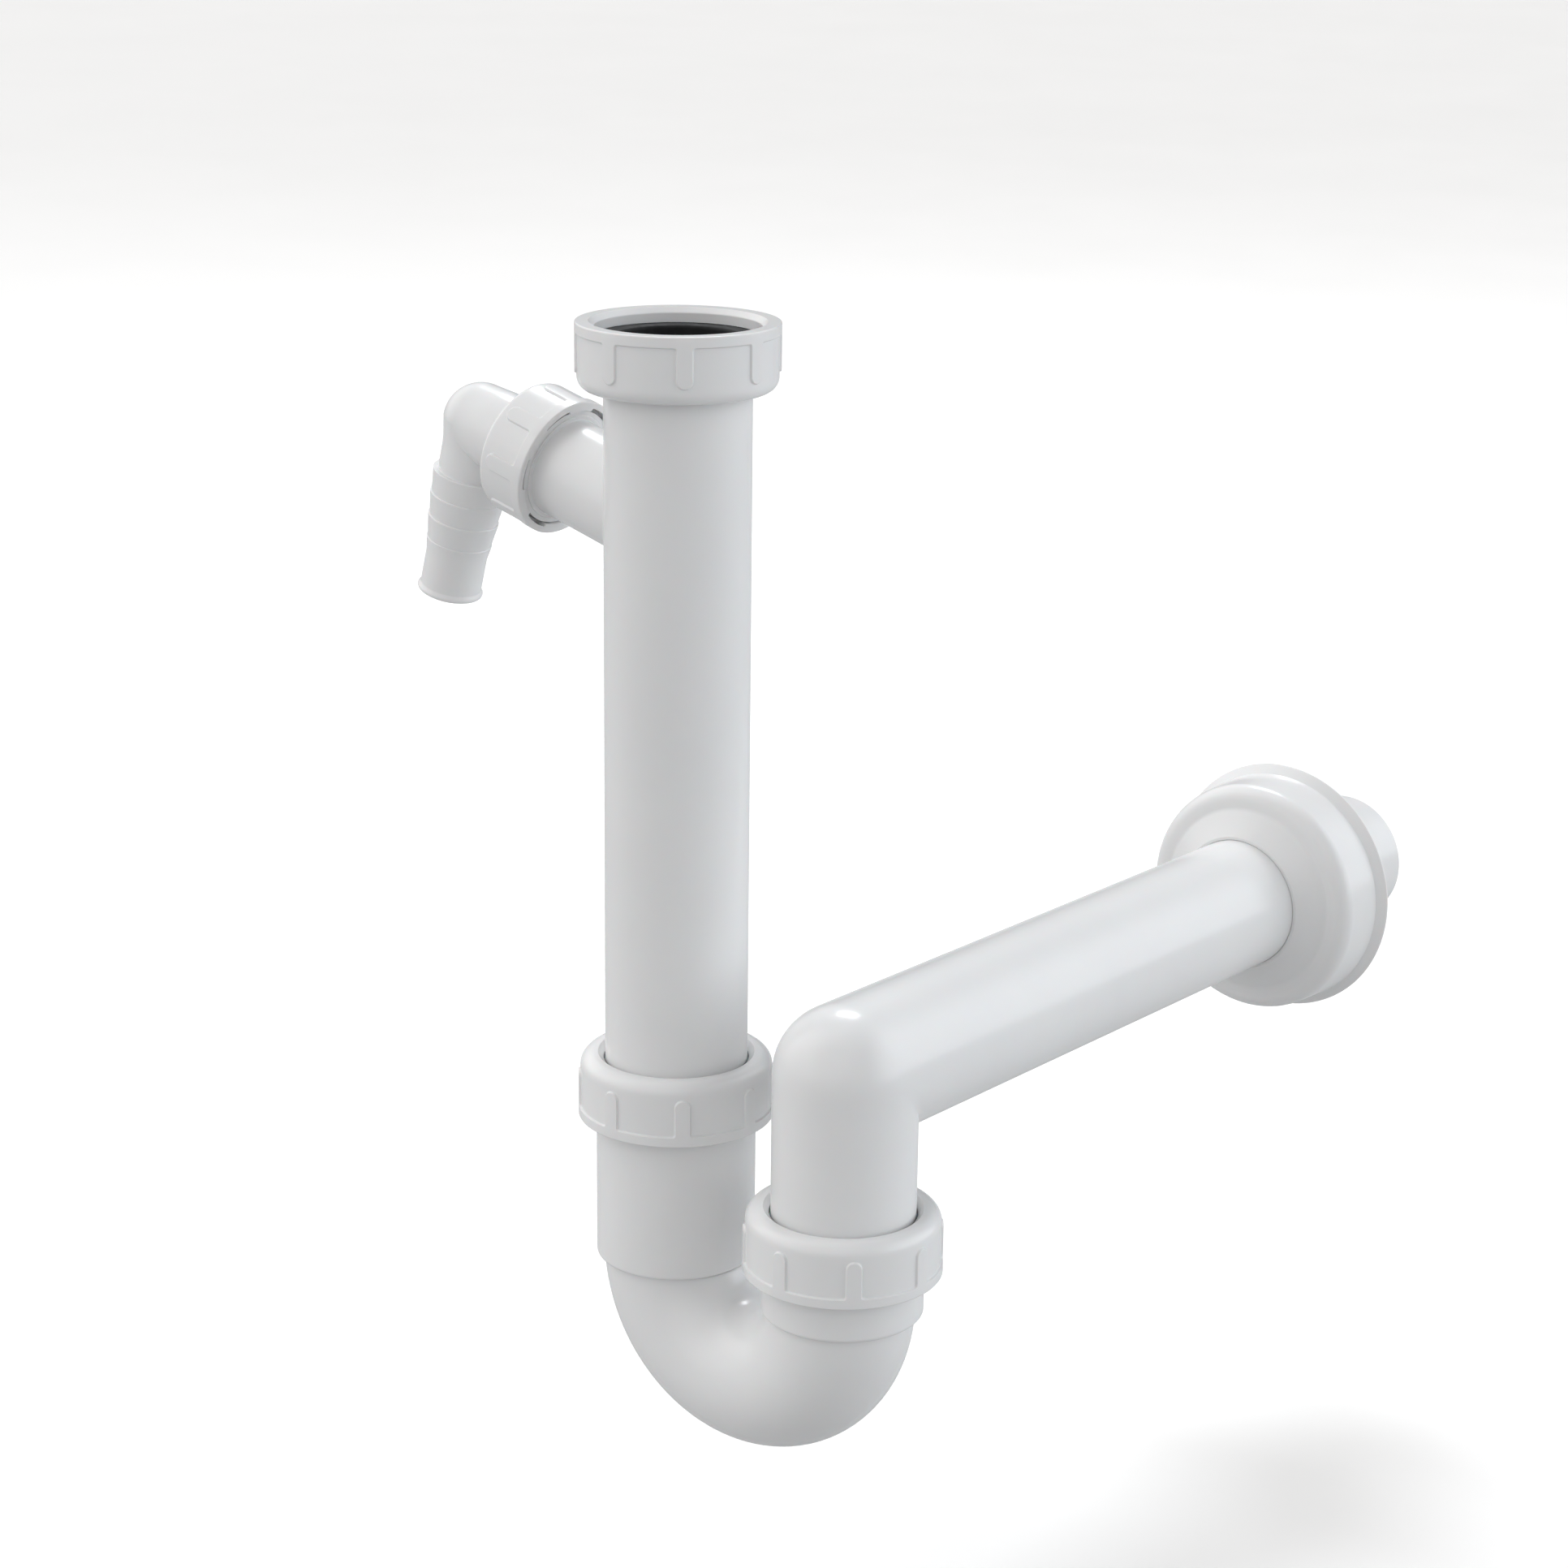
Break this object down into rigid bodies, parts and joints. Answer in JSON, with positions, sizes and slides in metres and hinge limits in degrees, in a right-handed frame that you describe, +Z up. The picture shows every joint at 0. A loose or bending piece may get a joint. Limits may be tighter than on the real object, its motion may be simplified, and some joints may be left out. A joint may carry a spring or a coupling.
{
  "type": "p trap",
  "caption": "Waste trap with a flanged dip tube, side branch with swivelling hose elbow, U-bend on compression joints and an outlet pipe with a sliding wall cover.",
  "frame": {"origin": "on the inlet axis, in the plane of the inlet union nut's open rim", "axes": "+Z up along the inlet axis, out of the inlet nut; +X along the U-bend from the inlet leg towards the outlet leg; +Y along the outlet pipe towards the wall"},
  "size_m": [0.1957, 0.2876, 0.3149],
  "materials": {
    "white_plastic": "soft gloss moulded polypropylene",
    "black_rubber": "matte black rubber",
    "grey_rubber": "matte dark grey rubber",
    "clear_plastic": "natural polyethylene, matte"
  },
  "bodies": {
    "tube": {"dip_tube": "white_plastic"},
    "inlet_washer": {"inlet_gasket": "black_rubber"},
    "inlet_nut": {"inlet_union_nut": "white_plastic"},
    "branch_washer": {"appliance_gasket": "black_rubber"},
    "branch_nut": {"appliance_union_nut": "white_plastic"},
    "hose_elbow": {"appliance_elbow": "white_plastic"},
    "inlet_seal": {"inlet_wedge_seal": "grey_rubber"},
    "trap": {"trap_bend": "white_plastic"},
    "trap_inlet_ring": {"inlet_slip_ring": "clear_plastic"},
    "trap_inlet_nut": {"inlet_compression_nut": "white_plastic"},
    "trap_outlet_ring": {"outlet_slip_ring": "clear_plastic"},
    "trap_outlet_nut": {"outlet_compression_nut": "white_plastic"},
    "outlet_seal": {"outlet_wedge_seal": "grey_rubber"},
    "outlet": {"outlet_pipe": "white_plastic"},
    "rosette": {"wall_rosette": "white_plastic"}
  },
  "joints": [
    {"name": "inlet_nut_lift", "type": "slide", "parent": "tube", "child": "inlet_washer", "axis": [0, 0, 1], "range_m": [0, 0.0048]},
    {"name": "inlet_nut_turn", "type": "hinge", "parent": "inlet_washer", "child": "inlet_nut", "pos_m": [0, 0, 0], "axis": [0, 0, 1], "continuous": true},
    {"name": "branch_nut_climb", "type": "slide", "parent": "tube", "child": "branch_washer", "axis": [-0.9659, 0, 0.2588], "range_m": [0, 0.00905]},
    {"name": "branch_nut_turn", "type": "hinge", "parent": "branch_washer", "child": "branch_nut", "pos_m": [-0.03996, 0, -0.04513], "axis": [-0.9659, 0, 0.2588], "range_deg": [0, 1403]},
    {"name": "hose_elbow_turn", "type": "hinge", "parent": "branch_washer", "child": "hose_elbow", "pos_m": [-0.07325, 0, -0.03621], "axis": [-0.9659, 0, 0.2588], "continuous": true},
    {"name": "trap_height", "type": "slide", "parent": "tube", "child": "inlet_seal", "axis": [0, 0, 1], "range_m": [-0.028, 0.0095]},
    {"name": "trap_turn", "type": "hinge", "parent": "inlet_seal", "child": "trap", "pos_m": [0, 0, -0.206], "axis": [0, 0, 1], "continuous": true},
    {"name": "trap_inlet_nut_climb", "type": "slide", "parent": "trap", "child": "trap_inlet_ring", "axis": [0, 0, 1], "range_m": [0, 0.0121]},
    {"name": "trap_inlet_nut_turn", "type": "hinge", "parent": "trap_inlet_ring", "child": "trap_inlet_nut", "pos_m": [0, 0, -0.206], "axis": [0, 0, 1], "range_deg": [0, 1870]},
    {"name": "trap_outlet_nut_climb", "type": "slide", "parent": "trap", "child": "trap_outlet_ring", "axis": [0, 0, 1], "range_m": [0, 0.0121]},
    {"name": "trap_outlet_nut_turn", "type": "hinge", "parent": "trap_outlet_ring", "child": "trap_outlet_nut", "pos_m": [0.0609, 0, -0.23605], "axis": [0, 0, 1], "range_deg": [0, 1870]},
    {"name": "outlet_turn", "type": "hinge", "parent": "trap", "child": "outlet_seal", "pos_m": [0.0609, 0, -0.23605], "axis": [0, 0, 1], "range_deg": [-215, 35]},
    {"name": "outlet_height", "type": "slide", "parent": "outlet_seal", "child": "outlet", "axis": [0, 0, 1], "range_m": [-0.0045, 0.007]},
    {"name": "rosette_slide", "type": "slide", "parent": "outlet", "child": "rosette", "axis": [0, 1, 0], "range_m": [-0.1, 0.035]}
  ],
  "couplings": [
    {"joint": "branch_nut_climb", "follows": "branch_nut_turn", "m_per_rad": 0.00036749},
    {"joint": "trap_inlet_nut_climb", "follows": "trap_inlet_nut_turn", "m_per_rad": 0.00036749},
    {"joint": "trap_outlet_nut_climb", "follows": "trap_outlet_nut_turn", "m_per_rad": 0.00036749}
  ]
}
